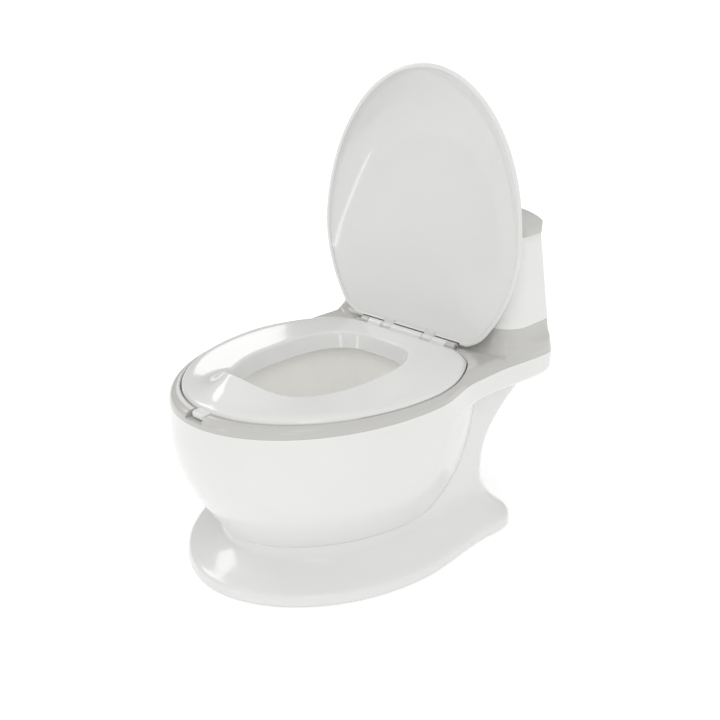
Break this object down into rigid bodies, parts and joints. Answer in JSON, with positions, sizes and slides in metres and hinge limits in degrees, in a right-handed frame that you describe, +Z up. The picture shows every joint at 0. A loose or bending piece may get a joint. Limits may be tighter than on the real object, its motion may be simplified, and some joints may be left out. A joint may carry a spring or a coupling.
{
  "type": "potty training chair",
  "caption": "Toilet-shaped potty chair on a flared foot, with hinged lid, hinged seat with splash crest, lift-out bowl, and a wipes tank with hinged cover and flush button.",
  "frame": {"origin": "on the floor, under the middle of the overall width and length", "axes": "+Z up, -Y the way the sitter faces, +X the sitter's left"},
  "size_m": [0.282, 0.386, 0.4718],
  "materials": {
    "white_plastic": "glossy moulded",
    "seat_plastic": "glossy moulded",
    "bowl_plastic": "glossy moulded",
    "grey_plastic": "satin moulded",
    "soft_rubber": "matt",
    "steel": "zinc plated",
    "chrome_trim": "bright",
    "dark_plastic": "fine texture",
    "board": "solder resist",
    "cell_wrap": "printed film"
  },
  "bodies": {
    "chair": {"base_screw_1": "steel", "base_screw_2": "steel", "base_screw_3": "steel", "base_screw_4": "steel", "body_shell": "white_plastic", "deck": "grey_plastic", "foot_pad_1": "soft_rubber", "foot_pad_2": "soft_rubber", "foot_pad_3": "soft_rubber", "foot_pad_4": "soft_rubber", "hinge_pin": "steel", "pedestal": "white_plastic", "potty_bowl": "bowl_plastic", "shelf_screw_1": "steel", "shelf_screw_2": "steel", "tank": "white_plastic", "tank_lid_pin_1": "steel", "tank_lid_pin_2": "steel", "tank_screw_1": "steel", "tank_screw_2": "steel"},
    "seat_ring": {"seat": "seat_plastic", "seat_bumper_1": "soft_rubber", "seat_bumper_2": "soft_rubber", "seat_bumper_3": "soft_rubber", "seat_bumper_4": "soft_rubber"},
    "lid_panel": {"lid": "seat_plastic"},
    "tank_cover": {"battery_1": "cell_wrap", "battery_2": "cell_wrap", "battery_contact_1": "steel", "battery_contact_2": "steel", "battery_door": "dark_plastic", "button_bezel": "chrome_trim", "button_spring": "steel", "circuit_board": "board", "housing_screw_1": "steel", "housing_screw_2": "steel", "push_switch": "dark_plastic", "sound_housing": "dark_plastic", "speaker": "dark_plastic", "tank_lid": "grey_plastic"},
    "button": {"flush_button": "seat_plastic"}
  },
  "joints": [
    {"name": "lid_hinge", "type": "hinge", "parent": "chair", "child": "lid_panel", "pos_m": [0, 0.1014, 0.189], "axis": [-1, 0, 0], "range_deg": [-93.6, 0]},
    {"name": "seat_hinge", "type": "hinge", "parent": "chair", "child": "seat_ring", "pos_m": [0, 0.1014, 0.189], "axis": [-1, 0, 0], "range_deg": [0, 88]},
    {"name": "tank_cover_hinge", "type": "hinge", "parent": "chair", "child": "tank_cover", "pos_m": [0, 0.1869, 0.3075], "axis": [-1, 0, 0], "range_deg": [0, 100]},
    {"name": "flush_press", "type": "slide", "parent": "tank_cover", "child": "button", "axis": [0, 0, -1], "range_m": [0, 0.003], "stiffness_N_per_m": 300, "springref_m": -0.002}
  ]
}
